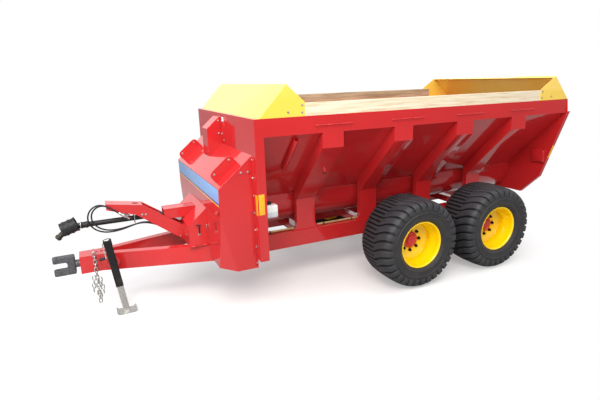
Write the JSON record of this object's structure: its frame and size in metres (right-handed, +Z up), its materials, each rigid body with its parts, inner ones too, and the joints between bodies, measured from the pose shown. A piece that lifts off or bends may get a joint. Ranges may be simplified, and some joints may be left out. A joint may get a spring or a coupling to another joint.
{
  "type": "side-discharge manure spreader",
  "caption": "V-tank side-discharge spreader trailer with trough auger, expeller, sliding gate, walking-beam tandem wheels, drawbar clevis, drive shaft and parking jack.",
  "frame": {"origin": "ground point under the middle of the overall box", "axes": "+X forward to the hitch, +Y to the machine's left-hand side, +Z up"},
  "size_m": [6.971, 2.9808, 2.589],
  "materials": {
    "red_paint": "gloss",
    "yellow_paint": "gloss",
    "black_paint": "satin",
    "tyre_rubber": "matte",
    "pine_board": "planed",
    "zinc_plate": "satin",
    "worn_steel": "worn",
    "black_plastic": "matte",
    "bottle_plastic": "satin",
    "hose_rubber": "matte"
  },
  "bodies": {
    "chassis": {"top_rails": "red_paint", "side_boards": "pine_board", "side_ribs": "red_paint", "frame_beams": "red_paint", "tongue_beams": "red_paint", "left_tank_wall": "red_paint", "right_tank_wall": "red_paint", "tank_trough": "red_paint", "front_wall": "red_paint", "rear_wall": "red_paint", "frame_cross_tubes": "red_paint", "tongue_head": "red_paint", "front_hood": "yellow_paint", "rear_hood": "yellow_paint", "drive_casing_sides": "red_paint", "drive_casing_cover": "red_paint", "casing_guards": "red_paint", "input_shield": "red_paint", "input_tunnel": "red_paint", "shaft_support_arm": "red_paint", "walking_beam_pivot": "red_paint", "shaft_bearings": "black_paint", "oil_bottle": "bottle_plastic", "jack_tube": "black_paint", "safety_chain": "zinc_plate", "near_hose": "hose_rubber", "far_hose": "hose_rubber", "hose_couplers": "zinc_plate", "door_cylinder_barrel": "black_paint", "expeller_housing": "red_paint", "expeller_chain": "worn_steel"},
    "left_bogie": {"left_walking_beam": "red_paint"},
    "left_front_wheel": {"left_front_tyre": "tyre_rubber", "left_front_rim": "yellow_paint", "left_front_hub": "red_paint"},
    "left_rear_wheel": {"left_rear_tyre": "tyre_rubber", "left_rear_rim": "yellow_paint", "left_rear_hub": "red_paint"},
    "right_bogie": {"right_walking_beam": "red_paint"},
    "right_front_wheel": {"right_front_tyre": "tyre_rubber", "right_front_rim": "yellow_paint", "right_front_hub": "red_paint"},
    "right_rear_wheel": {"right_rear_tyre": "tyre_rubber", "right_rear_rim": "yellow_paint", "right_rear_hub": "red_paint"},
    "auger": {"auger_shaft": "worn_steel", "auger_flight": "worn_steel"},
    "input": {"input_shaft": "worn_steel"},
    "expeller": {"expeller_rotor": "worn_steel", "expeller_paddles": "worn_steel"},
    "pto_rear": {"pto_rear_tube": "black_plastic"},
    "pto_front": {"pto_front_tube": "black_plastic"},
    "pto_end": {"pto_bell_guard": "black_plastic"},
    "yoke": {"pto_yoke": "worn_steel"},
    "door": {"discharge_door": "red_paint", "door_cylinder_rod": "zinc_plate"},
    "jack_foot_leg": {"jack_leg": "zinc_plate"},
    "crank": {"jack_crank": "black_paint"},
    "clevis": {"hitch_clevis": "black_paint"},
    "shield_door": {"service_door": "red_paint"}
  },
  "joints": [
    {"name": "left_bogie_rock", "type": "hinge", "parent": "chassis", "child": "left_bogie", "pos_m": [-1.3495, 0.59, 0.595], "axis": [0, 1, 0], "range_deg": [-12, 12]},
    {"name": "left_front_wheel_spin", "type": "hinge", "parent": "left_bogie", "child": "left_front_wheel", "pos_m": [-0.6955, 1.19, 0.575], "axis": [0, 1, 0], "continuous": true},
    {"name": "left_rear_wheel_spin", "type": "hinge", "parent": "left_bogie", "child": "left_rear_wheel", "pos_m": [-2.0035, 1.19, 0.575], "axis": [0, 1, 0], "continuous": true},
    {"name": "right_bogie_rock", "type": "hinge", "parent": "chassis", "child": "right_bogie", "pos_m": [-1.3495, -0.59, 0.595], "axis": [0, 1, 0], "range_deg": [-12, 12]},
    {"name": "right_front_wheel_spin", "type": "hinge", "parent": "right_bogie", "child": "right_front_wheel", "pos_m": [-0.6955, -1.19, 0.575], "axis": [0, 1, 0], "continuous": true},
    {"name": "right_rear_wheel_spin", "type": "hinge", "parent": "right_bogie", "child": "right_rear_wheel", "pos_m": [-2.0035, -1.19, 0.575], "axis": [0, 1, 0], "continuous": true},
    {"name": "auger_spin", "type": "hinge", "parent": "chassis", "child": "auger", "pos_m": [0, 0, 1.082], "axis": [1, 0, 0], "continuous": true},
    {"name": "input_spin", "type": "hinge", "parent": "chassis", "child": "input", "pos_m": [1.6505, 0, 1.052], "axis": [1, 0, 0], "continuous": true},
    {"name": "expeller_spin", "type": "hinge", "parent": "chassis", "child": "expeller", "pos_m": [0.9305, -0.797, 1.117], "axis": [1, 0, 0], "continuous": true},
    {"name": "pto_lift", "type": "hinge", "parent": "chassis", "child": "pto_rear", "pos_m": [2.0905, 0, 1.052], "axis": [0, -1, 0], "range_deg": [0, 8]},
    {"name": "pto_telescope", "type": "slide", "parent": "pto_rear", "child": "pto_front", "axis": [1, 0, 0], "range_m": [0, 0.25]},
    {"name": "pto_joint", "type": "hinge", "parent": "pto_front", "child": "pto_end", "pos_m": [3.2505, 0, 1.052], "axis": [0, -1, 0], "range_deg": [0, 40]},
    {"name": "yoke_spin", "type": "hinge", "parent": "pto_end", "child": "yoke", "pos_m": [3.2505, 0, 1.052], "axis": [0.766, 0, -0.6428], "continuous": true},
    {"name": "door_slide", "type": "slide", "parent": "chassis", "child": "door", "axis": [0, -0.7071, 0.7071], "range_m": [0, 0.314]},
    {"name": "jack_slide", "type": "slide", "parent": "chassis", "child": "jack_foot_leg", "axis": [0.1219, 0, 0.9925], "range_m": [0, 0.25]},
    {"name": "crank_turn", "type": "hinge", "parent": "chassis", "child": "crank", "pos_m": [2.8795, 0.3, 0.88734], "axis": [0.9925, 0, -0.1219], "range_deg": [0, 2578.31]},
    {"name": "clevis_swivel", "type": "hinge", "parent": "chassis", "child": "clevis", "pos_m": [3.2505, 0, 0.595], "axis": [1, 0, 0], "range_deg": [-25, 25]},
    {"name": "shield_door_hinge", "type": "hinge", "parent": "chassis", "child": "shield_door", "pos_m": [1.8685, 0.4613, 0.717], "axis": [-1, 0, 0], "range_deg": [0, 110]}
  ],
  "couplings": [
    {"joint": "input_spin", "follows": "auger_spin", "ratio": 2.5},
    {"joint": "yoke_spin", "follows": "auger_spin", "ratio": 2.5},
    {"joint": "expeller_spin", "follows": "auger_spin", "ratio": 4.0323},
    {"joint": "crank_turn", "follows": "jack_slide", "rad_per_m": 180}
  ]
}
